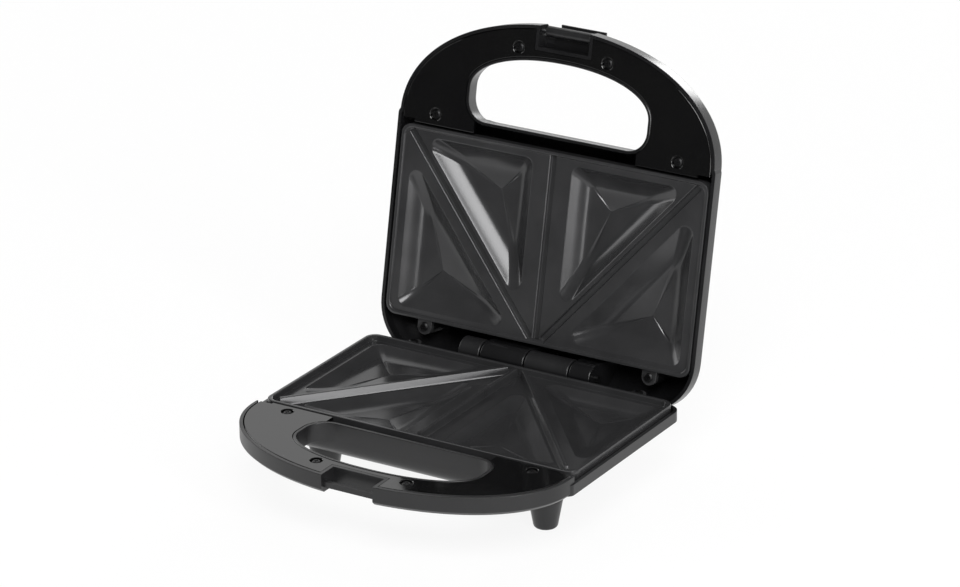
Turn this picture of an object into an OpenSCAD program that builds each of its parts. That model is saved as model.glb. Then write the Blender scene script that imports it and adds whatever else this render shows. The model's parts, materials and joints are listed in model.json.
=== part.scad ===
// Sandwich toaster for two slices, with its lid standing open at the stop.
// Both halves are drawn from the parting plane between the cooking plates:
// z grows away from that plane, into the half, and the base is the mirror of the lid's sense.
// The front, with the handle, is towards -Y, and the hinge is behind the plates, towards +Y.

/* [Cooking plates] */
// Width of each plate over its rim
plate_w = 216; // [206:1:226]
// Depth of each plate from the front rim to the rear rim
plate_d = 121; // [115:1:128]
// Corner radius of each plate
plate_r = 7; // [4:0.5:10]
// Width of the rim that stands round each plate
rim_w = 2.4; // [1.8:0.1:3]
// Wall of the cast aluminium
plate_t = 2.6; // [2:0.1:3.2]
// Height of the skirt round each plate
skirt_h = 8; // [7:0.5:9]
// Depth of the lower plate's land below its rim
lower_land = 3.8; // [3:0.1:4.4]
// Depth of the upper plate's land behind its rim
upper_land = 1.2; // [0.8:0.1:1.8]

/* [Pockets and dividers] */
// Depth of a lower pocket from its land to its floor
lower_pocket = 5.4; // [5:0.1:5.8]
// Depth of an upper pocket from its land to its floor
upper_pocket = 8.0; // [7:0.1:8.6]
// Extra depth in the middle of each three-sided floor
floor_dish = 0.8; // [0.4:0.1:1.2]
// Size of a pocket's floor as a share of its mouth
floor_share = 0.55; // [0.48:0.01:0.62]
// Corner radius of a pocket's mouth
pocket_r = 5.5; // [4:0.5:7]
// Land between the two inner pockets and the middle line
middle_gap = 14; // [12:0.5:16]
// Land between the inner pockets and the plate's front edge
front_gap = 6.7; // [6:0.1:8]
// Land between the inner pockets and the diagonal divider
inner_gap = 4.9; // [4.4:0.1:6]
// Land between the outer pockets and the diagonal divider
outer_gap = 10; // [8:0.5:12]
// Land between the outer pockets and the plate's side edge
side_gap = 8; // [7:0.5:10]
// Land between the outer pockets and the plate's rear edge
rear_gap = 6.2; // [5.5:0.1:8]
// Width of a divider ridge at its top
ridge_top = 2.4; // [2:0.1:2.8]
// Width of a divider ridge at its root
ridge_root = 4.6; // [4:0.1:5]
// Height of the ridges above the lower plate's rim
ridge_rise = 0.8; // [0.4:0.1:1]
// Clearance of a ridge in its groove, on each side and at its ends
groove_clearance = 0.8; // [0.6:0.1:1]
// Depth of the grooves in the upper plate's land
groove_depth = 1.9; // [1.5:0.1:2.2]

/* [Housings] */
// Wall of the moulded housings
shell_t = 2.2; // [1.8:0.1:2.6]
// Gap between a plate's skirt and the housing round it
plate_gap = 1.3; // [1:0.1:2]
// Depth of the base below the parting plane, without its feet
base_depth = 33; // [33:0.5:36]
// Height of the lid above the parting plane
lid_height = 36; // [35:0.5:40]
// Thickness of the handles, from the parting plane to their outer face
handle_h = 12; // [11.5:0.25:13.5]
// Reach of the handles in front of the plates
handle_reach = 76; // [72:1:80]
// Chamfer round a handle's outer face
handle_chamfer = 2.5; // [1.5:0.1:3]
// Distance of the base's side walls below the parting plane
base_ledge = 4.2; // [2:0.1:5]
// Gap left between the closed halves
parting_gap = 0.4; // [0.3:0.1:0.8]
// Overhang of the lid behind the plates
lid_tail = 25; // [24.5:0.25:26]
// Distance of the base's rear wall behind the plates
base_tail = 3; // [2.8:0.1:3.2]

/* [Handle openings and covers] */
// Half width of the finger opening
opening_a = 62.5; // [58:0.5:65]
// Width of the grip in front of the finger opening
opening_front = 22; // [20:0.5:24]
// Distance of the opening's widest line in front of the plates
opening_mid = 29; // [27:0.5:31]
// Distance of the opening's rear wall in front of the plates
opening_rear = 9.5; // [9:0.25:10]
// Radius of the opening's two rear corners
opening_r = 13; // [9:0.5:15]
// Thickness of the handle covers
cover_t = 2.5; // [2:0.1:3]
// Gap between a cover and the housing round it
cover_gap = 0.3; // [0.2:0.05:0.4]
// Half width of the cover's rear slot
slot_half = 57; // [50:1:58]

/* [Hinge] */
// Hinge axis behind the plates
hinge_back = 11.2; // [10.8:0.1:12]
// Hinge axis below the parting plane
hinge_drop = 2.2; // [1.8:0.1:2.6]
// Outer radius of the knuckles
knuckle_r = 8.5; // [7.5:0.1:8.7]
// Radius of the hinge pin
hinge_pin_r = 2; // [1.8:0.1:2.6]
// Running clearance of each pin in its bores
pin_clearance = 0.06; // [0.04:0.01:0.09]
// Half length of the knuckle row
knuckle_row = 46.5; // [42:0.5:50]
// Length of each inner knuckle
inner_knuckle = 31; // [28:0.5:33]
// Gap between neighbouring knuckles
knuckle_gap = 1; // [0.6:0.1:1.4]
// Angle at which the open lid rests against its stop
open_angle = 101.4; // [95:0.1:104]
// Gap left between the open lid and its stop
stop_gap = 0.4; // [0.3:0.1:0.8]

/* [Latch] */
// Half width of the front notches
notch_half = 17.5; // [16:0.5:19]
// Depth of the front notches behind the handles' front edge
notch_depth = 14; // [13:0.25:14.25]
// Latch axis behind the lid handle's front edge
latch_back = 4.5; // [4.2:0.1:5]
// Latch axis above the parting plane
latch_rise = 7; // [6.6:0.1:7.4]
// Outer radius of the latch barrel
latch_r = 3.3; // [3:0.1:3.5]
// Radius of the latch pin
latch_pin_r = 1.2; // [1:0.05:1.4]
// Thickness of the latch blade
latch_t = 1.5; // [1.2:0.1:1.8]
// Gap between the latch and what it hooks on or turns beside
latch_gap = 0.35; // [0.3:0.05:0.5]
// Length of the latch hook under the catch bar
hook_reach = 1.4; // [1.1:0.1:1.6]
// Thickness of the latch hook
hook_t = 1.5; // [1.2:0.1:1.8]
// Depth of the catch bar's top below the parting plane
catch_top = 5.3; // [5:0.1:5.8]
// Height of the catch bar
catch_h = 3.5; // [3:0.1:3.8]
// Thickness of the catch bar from front to rear
catch_t = 2.6; // [2.2:0.1:3]
// Turn of the latch from hooked to folded back
latch_turn = 172; // [165:1:175]

/* [Screws] */
// Radius of the screw shanks
shank_r = 1.45; // [1.3:0.05:1.6]
// Radius of the screw heads
head_r = 3; // [2.6:0.1:3.2]
// Height of the screw heads
head_h = 1.4; // [1.2:0.1:1.6]
// Length of the shanks below the heads
shank_l = 7; // [6:0.5:7]
// Radial clearance round the shanks and heads
screw_clearance = 0.06; // [0.04:0.01:0.09]
// Place of the outer cover screws from the middle line
screw_x_outer = 85; // [80:1:88]
// Place of the inner cover screws from the middle line
screw_x_inner = 31; // [28:1:34]
// Place of the outer cover screws in front of the plates
screw_y_outer = 8.5; // [8:0.5:10]
// Place of the inner cover screws behind the handles' front edge
screw_y_inner = 16.5; // [15.5:0.5:17]
// Place of the plate lugs from the middle line
lug_x = 80; // [76:1:84]
// Place of the lug screws behind the plates
lug_y = 4.6; // [4.2:0.1:4.8]
// Radius of the lugs
lug_r = 5; // [4.6:0.1:5.2]
// Thickness of the lugs
lug_t = 3.2; // [2.8:0.1:3.6]
// Depth of the lugs behind the parting plane
lug_drop = 2.4; // [2:0.1:2.8]

/* [Feet] */
// Height of the feet below the base
foot_h = 18; // [15:0.5:20]
// Radius of a foot at its top
foot_top_r = 10.4; // [9.5:0.1:11]
// Radius of a foot at the floor
foot_bottom_r = 7.2; // [6.6:0.1:8]
// Depth of the screw well in a foot's sole
foot_well = 8; // [7:0.5:10]
// Place of the front feet inside the plates' side edges
foot_side = 31; // [28:1:36]
// Place of the rear feet inside the plates' side edges
foot_rear_side = 53; // [42:1:56]
// Place of the front feet behind the plates' front edge
foot_front = 20.5; // [18:0.5:24]
// Place of the rear feet in front of the plates' rear edge
foot_rear = 11; // [10.5:0.5:16]

/* [Heating] */
// Radius of the tubular heaters
heater_r = 3.2; // [2.8:0.1:3.4]
// Gap between a heater and its seat on the plate
heater_gap = 0.1; // [0.05:0.05:0.2]
// Radius of the heaters' terminal pins
terminal_r = 1.2; // [1:0.1:1.4]
// Thickness of the reflector sheets
reflector_t = 0.8; // [0.6:0.1:1]
// Distance of the reflector sheets from the parting plane
reflector_z = 22; // [21.5:0.1:22.2]
// Distance of the reflector sheets inside the plates' side edges
reflector_side = 29; // [27:0.5:32]
// Distance of the reflector sheets behind the plates' front edge
reflector_front = 16; // [14:0.5:18]
// Distance of the reflector sheets in front of the plates' rear edge
reflector_rear = 28; // [26:0.5:30]
// Corner radius of the reflector sheets
reflector_r = 8; // [6:0.5:10]
// Radius of the thermostat's body
thermostat_r = 7.5; // [6.5:0.5:8]
// Height of the thermostat's body
thermostat_h = 8; // [7:0.5:9]

/* [Electrical parts] */
// Radius of the cord inlet's bore
cord_r = 3.3; // [2.8:0.1:3.6]
// Outer radius of the cord inlet's neck in the housing
grommet_r = 5; // [4.8:0.1:5.4]
// Place of the cord inlet from the middle line
grommet_x = 30; // [10:1:40]
// Distance of the cord inlet below the parting plane
grommet_drop = 24.5; // [24:0.1:25]
// Radius of the indicator lenses
lamp_r = 3; // [2.5:0.1:3.5]
// Distance between the indicator lenses
lamp_pitch = 22; // [16:1:28]
// Place of the indicator lenses behind the plates' front edge
lamp_y = 33; // [30:1:40]

/* [Hidden] */
$fn = 48;
eps = 0.01;

// Places in the closed toaster: y is 0 at the plates' rear edge.
front_y = -plate_d - handle_reach;
widest_y = -plate_d - 6;
opening_y = -plate_d - opening_mid;
opening_b = handle_reach - opening_mid - opening_front;
opening_wall_y = -plate_d - opening_rear;
shell_w = plate_w + 2 * (plate_gap + shell_t);
handle_a = shell_w / 2 - 1;
handle_b = -front_y + widest_y;
latch_y = front_y + latch_back;
hinge_y = hinge_back;
hinge_z = -hinge_drop;
floor_z = base_depth + foot_h - 2;
plate_bottom_lower = lower_land + lower_pocket + floor_dish + plate_t;
plate_bottom_upper = upper_land + upper_pocket + floor_dish + plate_t;
heater_z_lower = plate_bottom_lower + heater_gap + heater_r;
heater_z_upper = plate_bottom_upper + heater_gap + heater_r;

// Latch hook below the catch bar, measured down from the parting plane.
hook_top = catch_top + catch_h + latch_gap;
latch_reach = latch_rise + parting_gap + hook_top + hook_t;
latch_face = latch_r;
catch_y = latch_y - latch_face + latch_t + latch_gap;

// Levels of a housing's rounded back: [height, half width, front, rear, front radius, rear radius].
function levels_of(table, depth, tail) = [for (t = table) [t[0] * depth, shell_w / 2 - t[1],
    opening_wall_y + t[2], tail - t[3], t[4], t[5]]];
// Share of the height, insets at the sides, the front and the rear, and the two corner radii
base_table = [[base_ledge / base_depth, 0, 0, 0, 4, 6], [0.33, 0, 0, 0, 4, 6],
    [0.59, 13.5, 2.5, 4, 20, 8], [0.85, 25.5, 17.5, 9, 24, 12], [1, 33.5, 30.5, 13, 26, 14]];
lid_table = [[0, 0, 0, 0, 4, 25], [0.22, 0, 0, 0, 4, 25], [0.44, 4.5, 1.5, 3, 20, 26],
    [0.67, 13.5, 9.5, 11, 26, 28], [0.83, 27.5, 22.5, 23, 30, 30], [0.94, 45.5, 38.5, 39, 30, 28],
    [1, 67.5, 56.5, 57, 26, 20]];
base_levels = levels_of(base_table, base_depth, base_tail);
lid_levels = levels_of(lid_table, lid_height, lid_tail);

// Where a point of the closed toaster goes when the lid, or the lid and the latch, stand open.
function turned(p, c, a) = [c[0] + (p[0] - c[0]) * cos(a) + (p[1] - c[1]) * sin(a),
    c[1] - (p[0] - c[0]) * sin(a) + (p[1] - c[1]) * cos(a)];
function lid_opened(p) = turned(p, [hinge_y, hinge_z], open_angle);
latch_axis = [latch_y, latch_rise + parting_gap];
latch_corners = [for (dy = [-latch_face, -latch_face + latch_t + latch_gap + hook_reach], dz = [0, hook_t])
    turned(latch_axis + [dy, dz - latch_reach], latch_axis, latch_turn)];
handle_front = [[front_y, parting_gap], [front_y, handle_h - handle_chamfer + parting_gap]];
back_y = max(concat([for (p = concat(latch_corners, handle_front)) lid_opened(p)[0]],
    [for (level = lid_levels) lid_opened([level[2], level[0] + parting_gap])[0]],
    [for (level = lid_levels) lid_opened([level[3], level[0] + parting_gap])[0]]));
shift_y = -(front_y + back_y) / 2;
stop_y = lid_opened([lid_tail, parting_gap])[0] - stop_gap;

// ---- Placing -------------------------------------------------------------------------------

module in_base() {
    translate([0, shift_y, floor_z]) mirror([0, 0, 1]) children();
}

module in_lid() {
    translate([0, shift_y + hinge_y, floor_z + hinge_z]) rotate([-open_angle, 0, 0])
        translate([0, -hinge_y, -hinge_z + parting_gap]) children();
}

module in_latch() {
    in_lid() translate([0, latch_y, latch_rise]) rotate([-latch_turn, 0, 0]) children();
}

module both_sides() {
    children();
    mirror([1, 0, 0]) children();
}

// ---- Outlines ------------------------------------------------------------------------------

// Front half of a rounded form, from its left end round the front to its right end.
function front_curve(a, b, y, power, steps) = [for (i = [0:steps]) let (t = 180 - 180 * i / steps)
    [a * sign(cos(t)) * pow(abs(cos(t)), 2 / power), y - b * pow(sin(t), 2 / power)]];

function arc_points(c, r, from, to, steps) = [for (i = [0:steps])
    let (t = from + (to - from) * i / steps) [c[0] + r * cos(t), c[1] + r * sin(t)]];

function rounded_points(hw, front, rear, rf, rr, steps = 7) = concat(
    arc_points([hw - rr, rear - rr], rr, 0, 90, steps),
    arc_points([rr - hw, rear - rr], rr, 90, 180, steps),
    arc_points([rf - hw, front + rf], rf, 180, 270, steps),
    arc_points([hw - rf, front + rf], rf, 270, 360, steps));

function handle_outline(inset) = concat(
    front_curve(handle_a - inset, handle_b - inset, widest_y, 2.1, 44),
    [[handle_a - inset, widest_y + 2.5], [inset - handle_a, widest_y + 2.5]]);

// The finger opening: a full front curve and a flat rear wall with round corners.
function opening_outline(grow) = let (a = opening_a + grow, rear = opening_wall_y + grow,
    r = opening_r + grow) concat(
    front_curve(a, opening_b + grow, opening_y, 2.15, 36),
    arc_points([a - r, rear - r], r, 0, 90, 6), arc_points([r - a, rear - r], r, 90, 180, 6));

module rounded_rect(w, front, rear, r) {
    translate([-w / 2 + r, front]) square([w - 2 * r, rear - front]);
    translate([-w / 2, front + r]) square([w, rear - front - 2 * r]);
    for (x = [r - w / 2, w / 2 - r], y = [front + r, rear - r]) translate([x, y]) circle(r);
}

module slab(z0, z1) {
    translate([0, 0, z0]) linear_extrude(z1 - z0) children();
}

// Solid through outlines that have the same number of points, each at its own height.
module loft(outlines, heights) {
    n = len(outlines[0]);
    last = (len(outlines) - 1) * n;
    polyhedron([for (i = [0:len(outlines) - 1], p = outlines[i]) [p[0], p[1], heights[i]]],
        concat([[for (k = [0:n - 1]) k], [for (k = [n - 1:-1:0]) last + k]],
            [for (i = [0:len(outlines) - 2], k = [0:n - 1])
                [i * n + k, i * n + n + k, i * n + n + (k + 1) % n]],
            [for (i = [0:len(outlines) - 2], k = [0:n - 1])
                [i * n + k, i * n + n + (k + 1) % n, i * n + (k + 1) % n]]));
}

// Rounded back of a housing, or with inset the room inside it.
module dome(levels, inset) {
    loft([for (level = levels) rounded_points(level[1] - inset, level[2] + inset, level[3] - inset,
        max(level[4] - inset, 3), max(level[5] - inset, 3))], [for (level = levels) level[0] - inset]);
}

// ---- Cooking plates ------------------------------------------------------------------------

// Lines are [normal, distance]; a corner is where two of them cross.
function crossing(m, n) = let (d = m[0][0] * n[0][1] - m[0][1] * n[0][0])
    [(m[1] * n[0][1] - n[1] * m[0][1]) / d, (m[0][0] * n[1] - n[0][0] * m[1]) / d];

// Centre of the circle that touches all three sides of a triangle, and its radius.
function touch_centre(t) = let (a = norm(t[1] - t[2]), b = norm(t[2] - t[0]), c = norm(t[0] - t[1]))
    (a * t[0] + b * t[1] + c * t[2]) / (a + b + c);
function touch_radius(t) = let (a = norm(t[1] - t[2]), b = norm(t[2] - t[0]), c = norm(t[0] - t[1]))
    abs((t[1] - t[0])[0] * (t[2] - t[0])[1] - (t[1] - t[0])[1] * (t[2] - t[0])[0]) / (a + b + c);

// The left diagonal divider runs from beside the middle of the rear rim to the front corner.
fan_start = [-5, -4.5];
fan_end = [-plate_w / 2 + 5.5, -plate_d + 2];
fan_dir = (fan_end - fan_start) / norm(fan_end - fan_start);
fan_normal = [-fan_dir[1], fan_dir[0]];
function fan_line(gap) = [fan_normal, fan_normal * fan_start + gap];

inner_pocket = let (middle = [[1, 0], -middle_gap], front = [[0, 1], front_gap - plate_d])
    [crossing(fan_line(inner_gap), front), crossing(middle, front), crossing(middle, fan_line(inner_gap))];
outer_pocket = let (side = [[1, 0], side_gap - plate_w / 2], rear = [[0, 1], -rear_gap])
    [crossing(fan_line(-outer_gap), side), crossing(side, rear), crossing(rear, fan_line(-outer_gap))];
pockets = [inner_pocket, outer_pocket];

// A pocket, or with grow the bowl round it: sloping walls and a floor that dips to its middle.
module pocket(tri, top, depth, grow) {
    c = touch_centre(tri);
    r = touch_radius(tri);
    share = (r * floor_share + grow) / (r + grow);
    translate([c[0], c[1], top]) {
        linear_extrude(depth, scale = share) rounded_triangle(tri, c, grow);
        if (grow == 0)
            translate([0, 0, depth]) linear_extrude(floor_dish, scale = 0.01) scale(share)
                rounded_triangle(tri, c, grow);
    }
}

module rounded_triangle(tri, c, grow) {
    offset(r = pocket_r + grow, $fn = 24) offset(delta = -pocket_r)
        polygon([for (p = tri) p - c]);
}

module all_pockets(land, depth, grow) {
    both_sides() for (tri = pockets) pocket(tri, land, depth, grow);
}

// A straight bar from one point to another, with a four-sided section [root, top, z0, z1].
module bar(from, to, root, top, z0, z1) {
    d = to - from;
    translate([from[0], from[1], 0]) rotate([0, 0, atan2(d[1], d[0])]) rotate([90, 0, 90])
        linear_extrude(norm(d)) polygon([[-root / 2, z0], [root / 2, z0], [top / 2, z1], [-top / 2, z1]]);
}

module fan(extra, root, top, z0, z1) {
    both_sides() bar(fan_start - fan_dir * extra, fan_end + fan_dir * (extra - 3), root, top, z0, z1);
    bar([0, fan_start[1] + extra], [0, 2 - plate_d - extra + 1], root, top, z0, z1);
}

module lug() {
    slab(lug_drop, lug_drop + lug_t) {
        translate([lug_x, lug_y]) circle(lug_r);
        translate([lug_x - lug_r, -rim_w]) square([2 * lug_r, lug_y + rim_w]);
    }
}

module lug_hole() {
    translate([lug_x, lug_y, lug_drop - eps]) cylinder(r = shank_r + screw_clearance, h = lug_t + 2 * eps);
}

// Seats under the pockets, where the heater lies.
heater_front_y = touch_centre(inner_pocket)[1];
heater_rear_y = touch_centre(outer_pocket)[1];
heater_bend = (heater_rear_y - heater_front_y) / 2;
heater_side_x = plate_w / 2 - 20;
heater_end_x = 22;

seat_places = [[-touch_centre(inner_pocket)[0], heater_front_y],
    [heater_side_x - heater_bend - 5, heater_rear_y]];

module heater_seats(bottom) {
    for (p = seat_places) translate([p[0] - 4, p[1] - heater_r - 4, bottom - 3])
        cube([8, 2 * heater_r + 8, 3 + heater_r * 0.8]);
}

module heater_tube(r, z) {
    both_sides() {
        translate([heater_side_x - heater_bend, heater_front_y + heater_bend, z]) rotate([0, 0, -90])
            rotate_extrude(angle = 180, $fn = 96) translate([heater_bend, 0]) circle(r);
        translate([0, heater_front_y, z]) rotate([0, 90, 0])
            cylinder(r = r, h = heater_side_x - heater_bend);
        translate([heater_end_x, heater_rear_y, z]) rotate([0, 90, 0])
            cylinder(r = r, h = heater_side_x - heater_bend - heater_end_x);
    }
}

module plate_shell(land, depth, bottom, z_heater) {
    difference() {
        union() {
            slab(0, skirt_h) rounded_rect(plate_w, -plate_d, 0, plate_r);
            all_pockets(land, bottom - land, plate_t);
            both_sides() {
                lug();
                heater_seats(bottom);
            }
        }
        slab(-1, land) rounded_rect(plate_w - 2 * rim_w, rim_w - plate_d, -rim_w, plate_r - rim_w / 2);
        difference() {
            slab(land + plate_t, skirt_h + 1)
                rounded_rect(plate_w - 2 * rim_w, rim_w - plate_d, -rim_w, plate_r - rim_w / 2);
            all_pockets(land, bottom - land, plate_t);
            both_sides() heater_seats(bottom);
        }
        all_pockets(land - eps, depth + eps, 0);
        both_sides() lug_hole();
        heater_tube(heater_r + heater_gap, z_heater);
    }
}

module base_plate() {
    color("#2b2b2c") in_base() {
        plate_shell(lower_land, lower_pocket, plate_bottom_lower, heater_z_lower);
        fan(0, ridge_root, ridge_top, lower_land + eps, -ridge_rise);
    }
}

module lid_plate() {
    color("#2b2b2c") in_lid() difference() {
        union() {
            plate_shell(upper_land, upper_pocket, plate_bottom_upper, heater_z_upper);
            fan(0, ridge_root + 4, ridge_root + 2, upper_land + plate_t - eps, upper_land + plate_t + 2);
        }
        fan(groove_clearance, ridge_top + 2 * groove_clearance + 0.6, ridge_top + 2 * groove_clearance,
            upper_land - 1, upper_land + groove_depth);
    }
}

// ---- Housings ------------------------------------------------------------------------------

module handle_mass(inset, from, to) {
    loft([handle_outline(inset), handle_outline(inset), handle_outline(inset + handle_chamfer)],
        [from, to - handle_chamfer, to]);
}

module screw_places() {
    both_sides() {
        translate([screw_x_outer, -plate_d - screw_y_outer, 0]) children();
        translate([screw_x_inner, front_y + screw_y_inner, 0]) children();
    }
}

notch_wall = 2.2;

reflector_screw_x = 30;
reflector_screw_y = [-plate_d + 20, -38];

// One half's moulding without its hinge, its rim at z = 0. Its own fittings are the children.
module half_housing(levels) {
    difference() {
        union() {
            difference() {
                union() {
                    handle_mass(0, 0, handle_h);
                    dome(levels, 0);
                }
                handle_mass(shell_t, -1, handle_h - shell_t);
                dome(concat([[shell_t - 1, levels[0][1], levels[0][2], levels[0][3], levels[0][4],
                    levels[0][5]]], levels), shell_t);
            }
            // Wall round the finger opening
            slab(0, handle_h - 1) polygon(opening_outline(shell_t - 0.2));
            intersection() {
                handle_mass(0, 0, handle_h);
                union() {
                    // Walls of the front notch
                    translate([-notch_half - notch_wall, front_y, 0])
                        cube([2 * (notch_half + notch_wall), notch_depth + notch_wall, handle_h]);
                    // Bosses of the cover screws
                    screw_places() translate([0, 0, cover_t]) cylinder(r = 3.6, h = handle_h);
                }
            }
            intersection() {
                dome(levels, 0);
                union() {
                    both_sides() {
                        // Posts under the plate's skirt
                        for (y = [-plate_d + 3, -rim_w - 9]) translate([plate_w / 2 - 6, y, skirt_h])
                            cube([9, 9, 40]);
                        // Posts of the reflector
                        for (y = reflector_screw_y)
                            translate([reflector_screw_x, y, reflector_z + reflector_t])
                                cylinder(r = 3.6, h = 20);
                    }
                    children();
                }
            }
        }
        slab(-1, handle_h + 1) polygon(opening_outline(0));
        translate([-notch_half, front_y - 1, -1]) cube([2 * notch_half, notch_depth + 1, handle_h + 2]);
        screw_places() translate([0, 0, cover_t - eps])
            cylinder(r = shank_r + screw_clearance, h = shank_l + 0.5);
        both_sides() for (y = reflector_screw_y) translate([reflector_screw_x, y, reflector_z])
            cylinder(r = shank_r + screw_clearance, h = shank_l - 0.5);
    }
}

module lug_boss(top) {
    both_sides() difference() {
        translate([lug_x, lug_y, lug_drop + lug_t]) cylinder(r = lug_r, h = top - lug_drop - lug_t);
        translate([lug_x - lug_r - 1, lug_y - lug_r - 1, 0]) cube([2 * lug_r + 2, lug_r + 1.4 - lug_y, skirt_h + 1]);
    }
}

module lug_bores() {
    both_sides() translate([lug_x, lug_y, lug_drop]) cylinder(r = shank_r + screw_clearance, h = shank_l + 1);
}

// Knuckles between pairs of x values.
lid_knuckles = [[-inner_knuckle, -knuckle_gap / 2], [inner_knuckle + knuckle_gap, knuckle_row]];
base_knuckles = [[-knuckle_row, -inner_knuckle - knuckle_gap], [knuckle_gap / 2, inner_knuckle]];

module along_hinge(span, grow, z_axis, r) {
    translate([span[0] - grow, hinge_y, z_axis]) rotate([0, 90, 0])
        cylinder(r = r, h = span[1] - span[0] + 2 * grow, $fn = 72);
}

module base_housing() {
    color("#1b1b1c") in_base() difference() {
        union() {
            difference() {
                union() {
                    half_housing(base_levels);
                    lug_boss(20);
                }
                // Room for the plate's lugs and for the lid's knuckles in the rear wall
                both_sides() translate([lug_x - lug_r - 0.4, -1, -1])
                    cube([2 * lug_r + 0.8, base_tail + 1.5, lug_drop + lug_t + 1]);
                for (span = lid_knuckles) along_hinge(span, knuckle_gap, hinge_drop, knuckle_r + 0.5);
            }
            for (span = base_knuckles) {
                along_hinge(span, 0, hinge_drop, knuckle_r);
                translate([span[0], base_tail - shell_t, hinge_drop + 0.3])
                    cube([span[1] - span[0], hinge_y - base_tail + shell_t, knuckle_r - 0.3]);
            }
            // Catch bar across the notch
            translate([-notch_half - 1, catch_y, catch_top]) cube([2 * notch_half + 2, catch_t, catch_h]);
            // Ribs that stop the open lid
            for (x = [-62, 58]) translate([x, base_tail - 4, 11]) cube([4, stop_y - base_tail + 4, 9]);
            for (p = foot_places) translate([p[0], p[1], foot_boss_z])
                cylinder(r = foot_top_r, h = foot_seat - foot_boss_z);
            translate([grommet_x, 1, grommet_drop]) rotate([90, 0, 0]) cylinder(r = grommet_r + 3, h = 12);
        }
        lug_bores();
        along_hinge([-knuckle_row, knuckle_row], 1, hinge_drop, hinge_pin_r + pin_clearance);
        for (p = foot_places) translate([p[0], p[1], foot_seat - shank_l]) {
            cylinder(r = shank_r + screw_clearance, h = shank_l + 1);
            translate([0, 0, shank_l]) cylinder(r = foot_top_r + 0.3, h = 10);
        }
        translate([grommet_x, 2, grommet_drop]) rotate([90, 0, 0]) cylinder(r = grommet_r + 0.05, h = 16);
    }
}

lid_axis = -hinge_drop - parting_gap;
lamp_places = [[-lamp_pitch / 2, lamp_y - plate_d], [lamp_pitch / 2, lamp_y - plate_d]];
lamp_seat = lid_height - 6;

module lid_housing() {
    color("#151516") in_lid() difference() {
        union() {
            half_housing(lid_levels) {
                lug_boss(50);
                for (span = lid_knuckles, x = [span[0], (span[0] + span[1]) / 2 - 1.2, span[1] - 2.4])
                    translate([x, hinge_y - knuckle_r, 0]) cube([2.4, 2 * knuckle_r, 50]);
                for (p = lamp_places) translate([p[0], p[1], lamp_seat]) cylinder(r = lamp_r + 3, h = 20);
            }
            for (span = lid_knuckles) {
                along_hinge(span, 0, lid_axis, knuckle_r);
                translate([span[0], hinge_y - knuckle_r, lid_axis])
                    cube([span[1] - span[0], 2 * knuckle_r, 10 - lid_axis]);
            }
        }
        lug_bores();
        along_hinge([-knuckle_row, knuckle_row], 1, lid_axis, hinge_pin_r + pin_clearance);
        translate([-notch_half - notch_wall - 1, latch_y, latch_rise]) rotate([0, 90, 0])
            cylinder(r = latch_pin_r + pin_clearance, h = 2 * (notch_half + notch_wall + 1));
        for (p = lamp_places) translate([p[0], p[1], lamp_seat - 1]) cylinder(r = lamp_r + 0.05, h = 20);
    }
}

// ---- Handle covers -------------------------------------------------------------------------

module handle_cover() {
    difference() {
        slab(0, cover_t) difference() {
            union() {
                polygon(handle_outline(shell_t + cover_gap));
                translate([12 - shell_w / 2, widest_y]) square([shell_w - 24, 4.5]);
            }
            polygon(opening_outline(shell_t - 0.2 + cover_gap));
            translate([-slot_half, opening_wall_y - 1]) square([2 * slot_half, opening_rear + 20]);
            translate([-notch_half - notch_wall - cover_gap, front_y - 1])
                square([2 * (notch_half + notch_wall + cover_gap), notch_depth + notch_wall + 1 + cover_gap]);
        }
        screw_places() {
            translate([0, 0, -eps]) cylinder(r = head_r + 0.8, h = cover_t - head_h / 2 + eps);
            cylinder(r = shank_r + screw_clearance, h = cover_t + 1);
        }
    }
}

module base_handle_cover() {
    color("#131314") in_base() handle_cover();
}

module lid_handle_cover() {
    color("#0f0f10") in_lid() handle_cover();
}

// ---- Screws --------------------------------------------------------------------------------

// A pan head screw with a crossed slot. Its seat is at z = 0 and its shank runs to +z.
module screw(head, length) {
    difference() {
        translate([0, 0, -head_h]) rotate_extrude() polygon([[0, 0], [head * 0.7, 0], [head, head_h * 0.5],
            [head, head_h], [0, head_h]]);
        for (a = [0, 90]) rotate([0, 0, a]) translate([-head * 0.55, -0.35, -head_h - 1])
            cube([head * 1.1, 0.7, 1.6]);
    }
    cylinder(r = shank_r, h = length);
}

module cover_screws() {
    screw_places() translate([0, 0, cover_t - head_h / 2]) screw(head_r, shank_l);
}

module lug_screws() {
    both_sides() translate([lug_x, lug_y, lug_drop]) screw(head_r, shank_l);
}

module base_cover_screws() {
    color("#2a2a2b") in_base() cover_screws();
}

module lid_cover_screws() {
    color("#2a2a2b") in_lid() cover_screws();
}

module base_plate_screws() {
    color("#8b8b8c") in_base() lug_screws();
}

module lid_plate_screws() {
    color("#8b8b8c") in_lid() lug_screws();
}

// ---- Feet ----------------------------------------------------------------------------------

foot_x = plate_w / 2 - foot_side;
foot_rear_x = plate_w / 2 - foot_rear_side;
foot_places = [[-foot_x, foot_front - plate_d], [foot_x, foot_front - plate_d],
    [-foot_rear_x, -foot_rear], [foot_rear_x, -foot_rear]];
foot_seat = base_depth - 2;
foot_boss_z = foot_seat - shank_l - 0.8;

module foot(p) {
    color("#1a1a1b") in_base() translate([p[0], p[1], foot_seat]) difference() {
        rotate_extrude() polygon([[0, 0], [foot_top_r, 0], [foot_bottom_r, foot_h - 1.2],
            [foot_bottom_r - 1.2, foot_h], [0, foot_h]]);
        translate([0, 0, foot_h - foot_well]) cylinder(r = head_r + 0.6, h = foot_well + 1);
        cylinder(r = shank_r + screw_clearance, h = foot_h);
    }
}

module foot_front_left() { foot(foot_places[0]); }
module foot_front_right() { foot(foot_places[1]); }
module foot_rear_left() { foot(foot_places[2]); }
module foot_rear_right() { foot(foot_places[3]); }

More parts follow.
